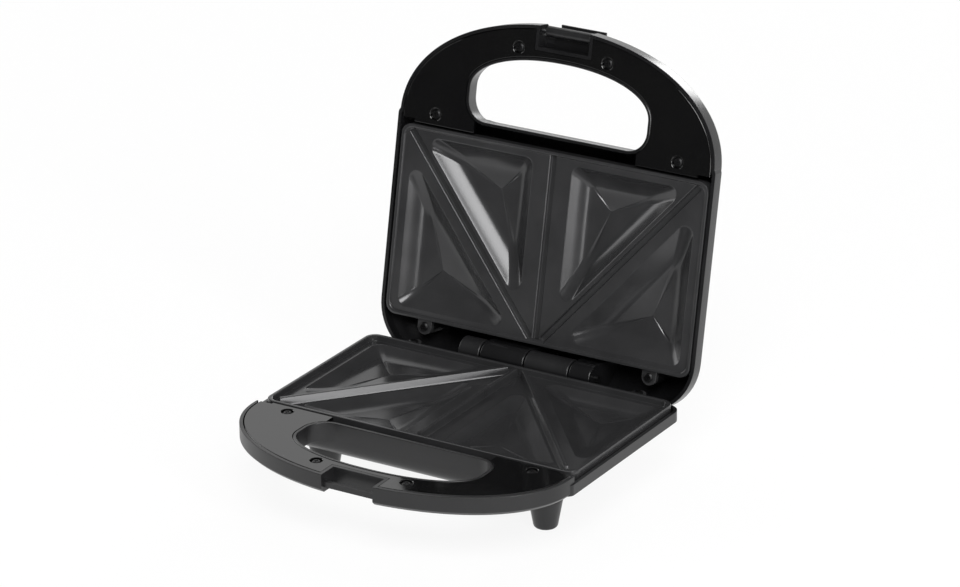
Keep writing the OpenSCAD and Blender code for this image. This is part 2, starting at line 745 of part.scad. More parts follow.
module foot_screws() {
    color("#8b8b8c") in_base() for (p = foot_places) translate([p[0], p[1], foot_seat + foot_h - foot_well])
        mirror([0, 0, 1]) screw(head_r, foot_h - foot_well + shank_l - 0.5);
}

// ---- Heating -------------------------------------------------------------------------------

module heater(z) {
    heater_tube(heater_r, z);
    both_sides() translate([heater_end_x - 9, heater_rear_y, z]) rotate([0, 90, 0])
        cylinder(r = terminal_r, h = 9.5);
}

// Straps that hold the heater down on its seats.
module heater_clips(z) {
    seat = heater_r * 0.2 + heater_gap;
    both_sides() for (p = seat_places) translate([p[0] - 3, p[1], z]) rotate([0, 90, 0]) linear_extrude(6)
        difference() {
            union() {
                circle(heater_r + 1);
                translate([0, -heater_r - 1]) square([seat, 2 * heater_r + 2]);
                translate([seat - 0.9, -heater_r - 3.6]) square([0.9, 2 * heater_r + 7.2]);
            }
            circle(heater_r + 0.1);
            translate([seat, -10]) square([20, 20]);
        }
}

module reflector() {
    slab(reflector_z, reflector_z + reflector_t) difference() {
        rounded_rect(plate_w - 2 * reflector_side, reflector_front - plate_d, -reflector_rear, reflector_r);
        both_sides() for (y = reflector_screw_y) translate([reflector_screw_x, y])
            circle(shank_r + screw_clearance);
    }
}

module reflector_screws() {
    both_sides() for (y = reflector_screw_y) translate([reflector_screw_x, y, reflector_z])
        screw(head_r, shank_l - 1);
}

module base_heater() { color("#6f6f70") in_base() heater(heater_z_lower); }
module lid_heater() { color("#6f6f70") in_lid() heater(heater_z_upper); }
module base_heater_clips() { color("#a5a5a6") in_base() heater_clips(heater_z_lower); }
module lid_heater_clips() { color("#a5a5a6") in_lid() heater_clips(heater_z_upper); }
module base_reflector() { color("#b9b9ba") in_base() reflector(); }
module lid_reflector() { color("#b9b9ba") in_lid() reflector(); }
module base_reflector_screws() { color("#8b8b8c") in_base() reflector_screws(); }
module lid_reflector_screws() { color("#8b8b8c") in_lid() reflector_screws(); }

module thermostat() {
    color("#4a4a4b") in_base() translate([0, -plate_d / 2, lower_land + plate_t]) {
        cylinder(r = thermostat_r, h = thermostat_h);
        translate([-3, -11, 0]) cube([6, 22, 1.2]);
        for (y = [-4, 4]) translate([-1.5, y - 0.4, thermostat_h]) cube([3, 0.8, 5]);
    }
}

module thermal_fuse() {
    color("#c9c2ad") in_base() translate([0, -14, lower_land + plate_t + 2.2]) rotate([90, 0, 0]) {
        cylinder(r = 2.2, h = 24);
        translate([0, 0, -5]) cylinder(r = 0.6, h = 34);
    }
}

// ---- Electrical parts ----------------------------------------------------------------------

module cord_grommet() {
    color("#161617") in_base() translate([grommet_x, 1, grommet_drop]) rotate([-90, 0, 0]) difference() {
        union() {
            translate([0, 0, -12]) cylinder(r = grommet_r, h = 13);
            cylinder(r = grommet_r + 2, h = 2.4);
        }
        translate([0, 0, -13]) cylinder(r = cord_r, h = 20);
    }
}

module terminal_block() {
    color("#d9d4c5") in_base() translate([-36, -27, base_depth - shell_t - 8.8]) difference() {
        cube([26, 12, 8.8]);
        for (x = [5, 13, 21]) translate([x, 6, -1]) cylinder(r = 1.8, h = 5);
    }
}

module lamp(i) {
    in_lid() translate([lamp_places[i][0], lamp_places[i][1], lamp_seat]) {
        translate([0, 0, -1.2]) cylinder(r = lamp_r, h = 6.8);
        translate([0, 0, -1.2]) cylinder(r = lamp_r + 1.5, h = 1.2);
    }
}

module power_lamp() { color("#7a1412") lamp(0); }
module ready_lamp() { color("#1f5a24") lamp(1); }

// ---- Hinge pin and latch -------------------------------------------------------------------

module hinge_pin() {
    color("#9a9a9b") in_base() translate([-knuckle_row - 2.5, hinge_y, hinge_drop]) rotate([0, 90, 0])
        cylinder(r = hinge_pin_r, h = 2 * knuckle_row + 5);
}

module latch_pin() {
    color("#9a9a9b") in_lid() translate([-notch_half - notch_wall + 0.3, latch_y, latch_rise])
        rotate([0, 90, 0]) cylinder(r = latch_pin_r, h = 2 * (notch_half + notch_wall) - 0.6);
}

// Drawn hooked, about its own axis: barrel, blade down the front, and hook under the catch bar.
module latch() {
    half = notch_half - latch_gap - 1.6;
    color("#141415") in_latch() difference() {
        union() {
            translate([-half, 0, 0]) rotate([0, 90, 0]) cylinder(r = latch_r, h = 2 * half);
            translate([-half, -latch_face, -latch_reach]) cube([2 * half, latch_t, latch_reach]);
            translate([-half, -latch_face, -latch_reach])
                cube([2 * half, latch_t + latch_gap + hook_reach, hook_t]);
        }
        translate([-half - 1, 0, 0]) rotate([0, 90, 0])
            cylinder(r = latch_pin_r + pin_clearance, h = 2 * half + 2);
    }
}

base_housing();
base_handle_cover();
base_plate();
base_heater();
base_heater_clips();
base_reflector();
base_reflector_screws();
base_plate_screws();
base_cover_screws();
foot_front_left();
foot_front_right();
foot_rear_left();
foot_rear_right();
foot_screws();
hinge_pin();
cord_grommet();
terminal_block();
thermostat();
thermal_fuse();
lid_housing();
lid_handle_cover();
lid_plate();
lid_heater();
lid_heater_clips();
lid_reflector();
lid_reflector_screws();
lid_plate_screws();
lid_cover_screws();
power_lamp();
ready_lamp();
latch();
latch_pin();
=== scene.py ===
"""Sandwich toaster with its lid standing open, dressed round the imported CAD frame."""
import json
import math

import bmesh
import bpy
from mathutils import Matrix, Vector
from mathutils.kdtree import KDTree


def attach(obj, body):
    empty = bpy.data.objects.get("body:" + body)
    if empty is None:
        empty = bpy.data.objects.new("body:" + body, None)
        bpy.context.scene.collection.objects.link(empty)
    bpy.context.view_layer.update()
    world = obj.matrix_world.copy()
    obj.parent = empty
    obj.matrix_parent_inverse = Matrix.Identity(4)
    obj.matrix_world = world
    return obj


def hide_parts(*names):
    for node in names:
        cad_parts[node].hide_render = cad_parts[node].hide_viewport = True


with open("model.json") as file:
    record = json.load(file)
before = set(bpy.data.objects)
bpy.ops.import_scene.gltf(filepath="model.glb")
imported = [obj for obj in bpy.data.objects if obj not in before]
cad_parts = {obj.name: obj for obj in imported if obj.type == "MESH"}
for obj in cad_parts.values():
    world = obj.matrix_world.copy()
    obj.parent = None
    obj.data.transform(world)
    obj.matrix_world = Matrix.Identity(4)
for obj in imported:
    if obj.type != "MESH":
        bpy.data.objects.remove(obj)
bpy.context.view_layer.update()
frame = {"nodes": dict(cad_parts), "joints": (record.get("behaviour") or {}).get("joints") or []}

MM = 0.001

# ---------------------------------------------------------------- places and sizes, in mm
# Both halves are modelled closed, each in its own directions: x to the right, y = 0 at the
# plates' rear edge with the front negative, and z = 0 at the parting plane, growing into the half.
hinge = next(joint for joint in frame["joints"] if joint["name"] == "lid_hinge")
pivot = next(joint for joint in frame["joints"] if joint["name"] == "latch_pivot")
HINGE_Y, HINGE_Z = 11.2, -2.2
OPEN_ANGLE = math.radians(hinge["range_deg"][1])
LATCH_TURN = math.radians(pivot["range_deg"][1])
REAR_Y = hinge["pos_m"][1] / MM - HINGE_Y
PARTING_Z = hinge["pos_m"][2] / MM - HINGE_Z
PARTING_GAP = 0.4

PLATE_W, PLATE_D, PLATE_R = 216.0, 121.0, 7.0
RIM_W, SKIRT_H = 2.4, 8.0
SHELL_T = 2.2
SHELL_W = PLATE_W + 2 * (1.3 + SHELL_T)
HANDLE_H, HANDLE_CHAMFER = 12.0, 2.5
FRONT_Y = -PLATE_D - 76
WIDEST_Y = -PLATE_D - 6
HANDLE_A = SHELL_W / 2 - 1
HANDLE_B = WIDEST_Y - FRONT_Y
OPENING_A, OPENING_B, OPENING_R = 62.5, 25.0, 13.0
OPENING_Y = -PLATE_D - 29
OPENING_WALL_Y = -PLATE_D - 9.5
OPENING_WALL_T = 2.0
HANDLE_RIM = 0.4
COVER_T, COVER_GAP = 2.5, 0.3
SLOT_HALF = 57.0
NOTCH_HALF, NOTCH_WALL = 17.5, 2.2
NOTCH_Y = FRONT_Y + 14
LATCH_Y, LATCH_Z = FRONT_Y + 4.5, 7.0
KNUCKLE_R, KNUCKLE_END, KNUCKLE_L = 8.5, 46.5, 31.0
COVER_SCREWS = [(85, -PLATE_D - 8.5), (31, FRONT_Y + 16.5)]
SCREW_BOSS_R = 3.6
LUG, LUG_R, LUG_Z = (80.0, 4.6), 5.0, 5.6
FEET = [("foot_front_left", -77, -100.5), ("foot_front_right", 77, -100.5),
        ("foot_rear_left", -55, -11), ("foot_rear_right", 55, -11)]
FOOT_TOP, FOOT_SOLE, FOOT_R = 31.0, 49.0, 10.4
CORD_X, CORD_Z = -30, 24.5

BASE_SEAT = Matrix.Translation((0, REAR_Y * MM, PARTING_Z * MM)) @ Matrix.Rotation(math.pi, 4, "Y")
LID_SEAT = (Matrix.Translation((0, (REAR_Y + HINGE_Y) * MM, (PARTING_Z + HINGE_Z) * MM))
            @ Matrix.Rotation(-OPEN_ANGLE, 4, "X")
            @ Matrix.Translation((0, -HINGE_Y * MM, (PARTING_GAP - HINGE_Z) * MM)))
LATCH_SEAT = (LID_SEAT @ Matrix.Translation((0, LATCH_Y * MM, LATCH_Z * MM))
              @ Matrix.Rotation(-LATCH_TURN, 4, "X"))


# ---------------------------------------------------------------- modelling by operators

def alone(piece):
    """Only this piece is selected, so that the next operator acts on nothing else."""
    bpy.ops.object.select_all(action="DESELECT")
    piece.select_set(True)
    bpy.context.view_layer.objects.active = piece
    return piece


def named(name):
    """The primitive that was just added, under its own name."""
    piece = bpy.context.active_object
    piece.name = piece.data.name = name
    return piece


def pick(piece, kind, test):
    """In edit mode, selects the faces, edges or verts that pass the test."""
    bpy.ops.mesh.select_all(action="DESELECT")
    mesh = bmesh.from_edit_mesh(piece.data)
    for element in getattr(mesh, kind):
        if test(element):
            element.select_set(True)
    bmesh.update_edit_mesh(piece.data)


def loft(name, rings):
    """A closed body: a circle laid on the first outline, then extruded from outline to outline."""
    bpy.ops.object.select_all(action="DESELECT")
    bpy.ops.mesh.primitive_circle_add(vertices=len(rings[0]), radius=0.1, fill_type="NOTHING")
    piece = named(name)
    for vertex, point in zip(piece.data.vertices, rings[0]):
        vertex.co = Vector(point) * MM
    bpy.ops.object.mode_set(mode="EDIT")
    bpy.ops.mesh.select_mode(type="EDGE")
    bpy.ops.mesh.select_all(action="SELECT")
    bpy.ops.mesh.edge_face_add()
    for old, ring in zip(rings, rings[1:]):
        tree = KDTree(len(old))
        for i, point in enumerate(old):
            tree.insert(Vector(point) * MM, i)
        tree.balance()
        bpy.ops.mesh.extrude_edges_move()
        mesh = bmesh.from_edit_mesh(piece.data)
        for vertex in mesh.verts:
            if vertex.select:
                vertex.co = Vector(ring[tree.find(vertex.co)[1]]) * MM
        bmesh.update_edit_mesh(piece.data)
    bpy.ops.mesh.edge_face_add()
    bpy.ops.mesh.select_all(action="SELECT")
    bpy.ops.mesh.normals_make_consistent(inside=False)
    bpy.ops.object.mode_set(mode="OBJECT")
    return piece


def block(name, low, high):
    """A box between two corners, in mm."""
    bpy.ops.object.select_all(action="DESELECT")
    middle = (Vector(low) + Vector(high)) / 2 * MM
    bpy.ops.mesh.primitive_cube_add(size=1, location=middle, scale=(Vector(high) - Vector(low)) * MM)
    piece = named(name)
    bpy.ops.object.transform_apply(location=True, rotation=True, scale=True)
    return piece


def rod(name, centre, radius, length, axis="Z", sides=48, soft=0.0):
    """A cylinder from its centre, with its two rims rounded by a bevel where soft is given."""
    bpy.ops.object.select_all(action="DESELECT")
    turn = {"X": (0, math.pi / 2, 0), "Y": (math.pi / 2, 0, 0), "Z": (0, 0, 0)}[axis]
    bpy.ops.mesh.primitive_cylinder_add(vertices=sides, radius=radius * MM, depth=length * MM,
                                        location=Vector(centre) * MM, rotation=turn)
    piece = named(name)
    bpy.ops.object.transform_apply(location=True, rotation=True, scale=True)
    if soft:
        bpy.ops.object.mode_set(mode="EDIT")
        bpy.ops.mesh.select_mode(type="EDGE")
        pick(piece, "edges", lambda edge: any(len(face.verts) > 4 for face in edge.link_faces))
        bpy.ops.mesh.bevel(offset=soft * MM, segments=3, profile=0.5)
        bpy.ops.object.mode_set(mode="OBJECT")
    return piece


def with_modifier(piece, kind, **settings):
    """Adds a modifier and applies it."""
    alone(piece)
    modifier = piece.modifiers.new(kind.title(), kind)
    for key, value in settings.items():
        setattr(modifier, key, value)
    bpy.ops.object.modifier_apply(modifier=modifier.name)
    return piece


def cut(piece, *tools, keep=False):
    """Takes the tools out of the piece, as a cutter does."""
    for tool in tools:
        with_modifier(piece, "BOOLEAN", operation="DIFFERENCE", solver="EXACT", object=tool)
        if not keep:
            bpy.data.objects.remove(tool)
    return piece


def weld(piece, *others):
    """Makes the others part of the piece."""
    for other in others:
        with_modifier(piece, "BOOLEAN", operation="UNION", solver="EXACT", object=other)
        bpy.data.objects.remove(other)
    return piece


def common(piece, other, keep=False):
    """Keeps only what the piece shares with the other."""
    with_modifier(piece, "BOOLEAN", operation="INTERSECT", solver="EXACT", object=other)
    if not keep:
        bpy.data.objects.remove(other)
    return piece


def finish_piece(piece, seat, body, slot, material, *nodes):
    """Puts the piece in its half, shades it, hangs it on its body and hides the CAD nodes it stands
    for. The slot is not used.
    """
    alone(piece)
    piece.matrix_world = seat
    bpy.ops.object.transform_apply(location=True, rotation=True, scale=True)
    bpy.ops.object.shade_smooth_by_angle(angle=math.radians(35))
    with_modifier(piece, "WEIGHTED_NORMAL", mode="FACE_AREA", weight=80, keep_sharp=True)
    piece.data.materials.clear()
    piece.data.materials.append(material)
    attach(piece, body)
    if nodes:
        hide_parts(*nodes)
    return piece


# ---------------------------------------------------------------- outlines, in mm

def curve_front(a, b, y, power, steps):
    points = []
    for i in range(steps + 1):
        turn = math.pi - math.pi * i / steps
        c, s = math.cos(turn), math.sin(turn)
        points.append((a * math.copysign(abs(c) ** (2 / power), c), y - b * abs(s) ** (2 / power)))
    return points


def arc(centre, radius, start, end, steps):
    return [(centre[0] + radius * math.cos(math.radians(start + (end - start) * i / steps)),
             centre[1] + radius * math.sin(math.radians(start + (end - start) * i / steps)))
            for i in range(steps + 1)]


def rounded_outline(half, front, rear, front_r, rear_r, steps=14):
    return (arc((half - rear_r, rear - rear_r), rear_r, 0, 90, steps)
            + arc((rear_r - half, rear - rear_r), rear_r, 90, 180, steps)
            + arc((front_r - half, front + front_r), front_r, 180, 270, steps)
            + arc((half - front_r, front + front_r), front_r, 270, 360, steps))


def handle_outline(inset, rear=2.5):
    return (curve_front(HANDLE_A - inset, HANDLE_B - inset, WIDEST_Y, 2.1, 96)
            + [(HANDLE_A - inset, WIDEST_Y + rear), (inset - HANDLE_A, WIDEST_Y + rear)])


def opening_outline(grow, rear_grow=None):
    a, rear = OPENING_A + grow, OPENING_WALL_Y + (grow if rear_grow is None else rear_grow)
    r = OPENING_R + grow
    return (curve_front(a, OPENING_B + grow, OPENING_Y, 2.15, 80)
            + arc((a - r, rear - r), r, 0, 90, 12) + arc((r - a, rear - r), r, 90, 180, 12))


def at(outline, z):
    return [(x, y, z) for x, y in outline]


def turned_profile(centre, profile, sides=48):
    """Rings round an upright axis, for a body whose profile is given as (radius, z)."""
    return [[(centre[0] + radius * math.cos(2 * math.pi * i / sides),
              centre[1] + radius * math.sin(2 * math.pi * i / sides), z) for i in range(sides)]
            for radius, z in profile]


def blend_levels(levels, steps):
    """More levels between the given ones, on a smooth curve through them."""
    fine = []
    last = len(levels) - 1
    for i in range(last):
        before, here = levels[max(i - 1, 0)], levels[i]
        there, after = levels[i + 1], levels[min(i + 2, last)]
        for k in range(steps):
            t = k / steps
            fine.append([here[j] + 0.5 * t * (there[j] - before[j]
                         + t * (2 * before[j] - 5 * here[j] + 4 * there[j] - after[j]
                                + t * (3 * (here[j] - there[j]) + after[j] - before[j])))
                         for j in range(len(here))])
    fine.append(list(levels[last]))
    return fine


# ---------------------------------------------------------------- housings

BASE_LEVELS = [(4.2, 0, 0, 0, 4, 9), (10.89, 0, 0, 0, 4, 9), (19.47, 13.5, 2.5, 4, 20, 10),
               (28.05, 25.5, 17.5, 9, 24, 12), (33, 33.5, 30.5, 13, 26, 14)]
LID_LEVELS = [(0, 0, 0, 0, 4, 34), (7.92, 0, 0, 0, 4, 34), (15.84, 4.5, 1.5, 3, 20, 33),
              (24.12, 13.5, 9.5, 11, 26, 31), (29.88, 27.5, 22.5, 23, 30, 30),
              (33.84, 45.5, 38.5, 39, 30, 28), (36, 67.5, 56.5, 57, 24, 16)]


def dome_rings(levels, tail, inset, steps=5):
    """Outlines up a housing's rounded back, or with inset those of the room inside it."""
    smooth = [levels[0]] + blend_levels(levels[1:], steps)
    return [at(rounded_outline(SHELL_W / 2 - side - inset, OPENING_WALL_Y + front + inset,
                               tail - rear - inset, max(front_r - inset, 3), max(rear_r - inset, 3)),
               z - inset) for z, side, front, rear, front_r, rear_r in smooth]


def handle_rings(inset, low, high, rim=0.0):
    """Outlines down a handle's side: its rim, its wall, its rounded chamfer and its outer face."""
    rings = []
    if rim:
        rings += [at(handle_outline(inset + rim), low),
                  at(handle_outline(inset + rim * 0.3), low + rim * 0.3)]
        low += rim
    rings.append(at(handle_outline(inset), low))
    c = HANDLE_CHAMFER
    for across, down in ((0, c + 0.5), (0.08, c + 0.1), (0.3, c - 0.3), (c - 0.3, 0.3), (c + 0.1, 0.08),
                         (c + 0.5, 0)):
        rings.append(at(handle_outline(inset + across), high - down))
    return rings


def housing(name, levels, tail, draft=0.0):
    """One half's moulding: rounded back and hollow handle, finger opening, notch and screw bosses.

    The draft opens the finger opening towards its outer side."""
    back = loft(name, dome_rings(levels, tail, 0))
    mouth = rounded_outline(SHELL_W / 2 - SHELL_T, OPENING_WALL_Y + SHELL_T, tail - SHELL_T,
                            3, max(levels[0][5] - SHELL_T, 3))
    room = loft("room", [at(mouth, -1)] + dome_rings(levels, tail, SHELL_T)[1:])
    grip = loft("grip", handle_rings(0, 0, HANDLE_H, rim=HANDLE_RIM))
    hollow = loft("hollow", handle_rings(SHELL_T, -1, HANDLE_H - SHELL_T))
    weld(back, grip)
    cut(back, room, hollow)
    wall = ((OPENING_WALL_T, HANDLE_H - 1), (OPENING_WALL_T, 0.3), (OPENING_WALL_T - 0.3, 0),
            (-5, 0), (-5, HANDLE_H - 1))
    weld(back, loft("opening_wall", [at(opening_outline(grow), z) for grow, z in wall]))
    notch_block = common(block("notch_block", (-NOTCH_HALF - NOTCH_WALL, FRONT_Y, 0),
                               (NOTCH_HALF + NOTCH_WALL, NOTCH_Y + NOTCH_WALL, HANDLE_H)),
                         loft("grip", handle_rings(0, 0, HANDLE_H, rim=HANDLE_RIM)))
    weld(back, notch_block)
    for x, y in COVER_SCREWS:
        for side in (-1, 1):
            weld(back, rod("boss", (side * x, y, (COVER_T + HANDLE_H - 1) / 2), SCREW_BOSS_R,
                           HANDLE_H - 1 - COVER_T, sides=24))
    inner = ((1.5, -1), (1.5, -0.4), (0.15, 0.15), (0, 0.5), (draft, HANDLE_H - 0.6))
    outer = ((0.2, HANDLE_H - 0.2), (0.8, HANDLE_H + 0.2), (0.8, HANDLE_H + (6 if draft else 1)))
    cut(back, loft("opening_cutter", [at(opening_outline(grow), z) for grow, z in inner]
                   + [at(opening_outline(draft + grow, draft), z) for grow, z in outer]))
    cut(back, block("notch_cutter", (-NOTCH_HALF, FRONT_Y - 5, -1),
                    (NOTCH_HALF, NOTCH_Y, HANDLE_H + 2)))
    return back


def spans_at(spans, sign):
    """The base is seated turned about Y, so its spans run the other way."""
    return [sorted((sign * a, sign * b)) for a, b in spans]


LID_KNUCKLES = [(-KNUCKLE_L, -0.5), (KNUCKLE_L + 1, KNUCKLE_END)]
BASE_KNUCKLES = spans_at([(-KNUCKLE_END, -KNUCKLE_L - 1), (0.5, KNUCKLE_L)], -1)


def knuckle(span, z):
    """One barrel of the hinge, its rims rounded."""
    return rod("knuckle", ((span[0] + span[1]) / 2, HINGE_Y, z), KNUCKLE_R, span[1] - span[0],
               axis="X", sides=64, soft=0.7)


def lug_bosses(name, top):
    """Posts under the plate's two lugs, flattened to clear the plate's skirt."""
    made = []
    for side in (-1, 1):
        x = side * LUG[0]
        profile = [(LUG_R, LUG_Z), (LUG_R, top - 0.6), (LUG_R - 0.6, top)]
        made.append(cut(loft(name, turned_profile((x, LUG[1]), profile, 40)),
                        block("skirt_room", (x - 6, -3, 0), (x + 6, 0.4, SKIRT_H + 1))))
    return made


def base_moulding():
    body = housing("base_moulding", BASE_LEVELS, 3)
    weld(body, *lug_bosses("lug_boss", 20))
    for side in (-1, 1):
        cut(body, block("lug_slot", (side * LUG[0] - LUG_R - 0.4, -1, -1),
                        (side * LUG[0] + LUG_R + 0.4, 4.5, LUG_Z)))
    for span in spans_at(LID_KNUCKLES, -1):
        cut(body, rod("relief", ((span[0] + span[1]) / 2, HINGE_Y, -HINGE_Z), KNUCKLE_R + 0.5,
                      span[1] - span[0] + 2, axis="X", sides=64))
    for span in BASE_KNUCKLES:
        weld(body, block("web", (span[0] + 0.3, 1.6, 2.6), (span[1] - 0.3, HINGE_Y - 0.7, 10.4)),
             knuckle(span, -HINGE_Z))
    weld(body, block("catch_bar", (-NOTCH_HALF - 1, -193.95, 5.3), (NOTCH_HALF + 1, -191.35, 8.8)))
    stop_y = 10.6
    for x in (-62, 58):
        weld(body, block("stop_rib", (-x - 4, -2.3, 11.1), (-x, stop_y, 20)))
    for _, x, y in FEET:
        weld(body, loft("foot_boss", turned_profile((-x, y), [(FOOT_R, 23.2), (FOOT_R, FOOT_TOP)], 48)))
        seat = [(FOOT_R + 0.3, FOOT_TOP), (FOOT_R + 0.3, FOOT_TOP + 10)]
        cut(body, loft("foot_seat", turned_profile((-x, y), seat, 48)))
    weld(body, rod("cord_boss", (CORD_X, -5, CORD_Z), 8, 12, axis="Y"))
    cut(body, rod("cord_bore", (CORD_X, -6, CORD_Z), 5.05, 16, axis="Y"))
    return body


def lid_moulding():
    body = housing("lid_moulding", LID_LEVELS, 25, draft=1.6)
    room = loft("room", dome_rings(LID_LEVELS, 25, 1.0))
    inside = lug_bosses("lug_boss", 50)
    for span in LID_KNUCKLES:
        for x in (span[0], (span[0] + span[1]) / 2 - 1.2, span[1] - 2.4):
            inside.append(block("rib", (x, 2.7, 0), (x + 2.4, 19.7, 50)))
    for piece in inside:
        weld(body, common(piece, room, keep=True))
    bpy.data.objects.remove(room)
    for span in LID_KNUCKLES:
        weld(body, block("web", (span[0] + 0.3, 2.9, -2), (span[1] - 0.3, 19.5, 10)),
             knuckle(span, HINGE_Z - PARTING_GAP))
    weld(body, block("notch_back", (-NOTCH_HALF - 1, FRONT_Y + 8.1, HANDLE_H - 2),
                     (NOTCH_HALF + 1, NOTCH_Y + 1, HANDLE_H - 0.4)))
    for side in (-1, 1):
        cut(body, rod("lamp_hole", (side * 11, 33 - PLATE_D, 35), 3.05, 10, sides=40))
    return body


# ---------------------------------------------------------------- handle covers

def handle_cover(name):
    """The glossy cover let into a handle, with a soft rim and four sunk screw seats."""
    inset = SHELL_T + COVER_GAP
    rings = [at(handle_outline(inset, 4.5), COVER_T), at(handle_outline(inset, 4.5), 0.9),
             at(handle_outline(inset + 0.12, 4.4), 0.45), at(handle_outline(inset + 0.35, 4.2), 0.18),
             at(handle_outline(inset + 0.8, 3.9), 0)]
    cover = loft(name, rings)
    grow = OPENING_WALL_T + COVER_GAP
    hole = [at(opening_outline(grow + 0.5), -1), at(opening_outline(grow + 0.5), 0),
            at(opening_outline(grow + 0.15), 0.15), at(opening_outline(grow), 0.5),
            at(opening_outline(grow), COVER_T + 1)]
    cut(cover, loft("cover_hole", hole))
    cut(cover, block("rear_slot", (-SLOT_HALF, OPENING_WALL_Y - 1, -1), (SLOT_HALF, -110, 4)))
    reach = NOTCH_HALF + NOTCH_WALL + COVER_GAP
    cut(cover, block("notch_cutter", (-reach, FRONT_Y - 5, -1),
                     (reach, NOTCH_Y + NOTCH_WALL + COVER_GAP, 4)))
    for side in (-1, 1):
        cut(cover, block("corner_cutter", (side * 99.5 if side > 0 else -120, -124.6, -1),
                         (120 if side > 0 else -99.5, -110, 4)))
        for x, y in COVER_SCREWS:
            profile = [(1.6, COVER_T + 1), (1.6, 1.8), (3.8, 1.8), (3.8, 0.35), (4.1, 0.05),
                       (4.3, 0), (4.3, -1)]
            cut(cover, loft("screw_seat", turned_profile((side * x, y), profile, 40)))
    return cover


# ---------------------------------------------------------------- cooking plates

def crossing(m, n):
    d = m[0][0] * n[0][1] - m[0][1] * n[0][0]
    return ((m[1] * n[0][1] - n[1] * m[0][1]) / d, (m[0][0] * n[1] - n[0][0] * m[1]) / d)


def touch_centre(tri):
    a, b, c = math.dist(tri[1], tri[2]), math.dist(tri[2], tri[0]), math.dist(tri[0], tri[1])
    return tuple((a * tri[0][i] + b * tri[1][i] + c * tri[2][i]) / (a + b + c) for i in (0, 1))


FAN_START, FAN_END = Vector((-5, -4.5)), Vector((-PLATE_W / 2 + 5.5, -PLATE_D + 2))
FAN_DIR = (FAN_END - FAN_START).normalized()
FAN_NORMAL = Vector((-FAN_DIR.y, FAN_DIR.x))


def fan_line(gap):
    return (FAN_NORMAL, FAN_NORMAL.dot(FAN_START) + gap)


MIDDLE_LINE, FRONT_LINE = ((1, 0), -14), ((0, 1), 6.7 - PLATE_D)
SIDE_LINE, REAR_LINE = ((1, 0), 8 - PLATE_W / 2), ((0, 1), -6.2)
INNER_POCKET = [crossing(fan_line(4.9), FRONT_LINE), crossing(MIDDLE_LINE, FRONT_LINE),
                crossing(MIDDLE_LINE, fan_line(4.9))]
OUTER_POCKET = [crossing(fan_line(-10), SIDE_LINE), crossing(SIDE_LINE, REAR_LINE),
                crossing(REAR_LINE, fan_line(-10))]


def rounded_triangle(tri, radius, steps=10):
    """Outline of a triangle with round corners."""
    area = sum(tri[i - 1][0] * tri[i][1] - tri[i][0] * tri[i - 1][1] for i in range(3))
    corners = [Vector(p) for p in (tri if area > 0 else tri[::-1])]
    points = []
    for i in range(3):
        here, before, after = corners[i], corners[i - 1], corners[(i + 1) % 3]
        u, v = (before - here).normalized(), (after - here).normalized()
        inner = u.angle(v)
        centre = here + (u + v).normalized() * radius / math.sin(inner / 2)
        start = math.degrees(math.atan2(u.x, -u.y))
        points += arc(centre, radius, start, start + 180 - math.degrees(inner), steps)
    return points


def pocket(tri, land, depth):
    """Cutter of one pocket: crisp lip, curved walls and a floor with three fine valleys."""
    centre = touch_centre(tri)
    mouth = rounded_triangle(tri, 5.5)
    across_valley = (1.0, 0.7, 0.25)

    def ring(share, z, valley=0.0):
        points = []
        for i, (x, y) in enumerate(mouth):
            off = abs(i % 11 - 5)
            points.append((centre[0] + (x - centre[0]) * share, centre[1] + (y - centre[1]) * share,
                           z + valley * (across_valley[off] if off < 3 else 0)))
        return points

    floor = 0.52
    rings = [ring(1.03, land - 3), ring(1.03, land - 0.02), ring(1.015, land + 0.04),
             ring(1.0, land + 0.3)]
    for t in (0.1, 0.22, 0.34, 0.46, 0.58, 0.7, 0.81, 0.91, 1.0):
        rings.append(ring(1 - (1 - floor) * t, land + 0.3 + (depth - 0.3) * (1 - (1 - t) ** 1.55),
                          max(0.0, t - 0.7) * 1.2))
    rings += [ring(0.42, land + depth + 0.2, 0.45), ring(0.3, land + depth + 0.4, 0.5),
              ring(0.12, land + depth + 0.68, 0.35), ring(0.02, land + depth + 0.95)]
    return loft("pocket", rings)


def bowl(tri, land, bottom):
    """Wall of cast metal round a pocket, on the plate's hidden side."""
    centre = touch_centre(tri)
    mouth = rounded_triangle(tri, 5.5)
    rings = []
    for share, z in ((1.1, land + 0.5), (0.68, bottom - 0.6), (0.64, bottom)):
        rings.append([(centre[0] + (x - centre[0]) * share, centre[1] + (y - centre[1]) * share, z)
                      for x, y in mouth])
    return loft("bowl", rings)


def bar(name, start, end, section, slope):
    """A straight rib or groove: its section drawn along a line, sloping off at both ends."""
    start, end = Vector(start), Vector(end)
    along = (end - start).normalized()
    across = Vector((along.y, -along.x))
    foot = max(z for _, z in section)
    rings = []
    for point, share in ((start, 0.15), (start + along * slope, 1),
                         (end - along * slope, 1), (end, 0.15)):
        rings.append([(point.x + across.x * x, point.y + across.y * x, foot + (z - foot) * share)
                      for x, z in section])
    return loft(name, rings)


def fan_lines(extra):
    """The two diagonal dividers and the middle one, from the rear rim to the front."""
    start, end = FAN_START - FAN_DIR * extra, FAN_END + FAN_DIR * (extra - 3)
    return [(start, end), ((-start.x, start.y), (-end.x, end.y)),
            ((0, -4.5 + extra), (0, 3 - PLATE_D - extra))]


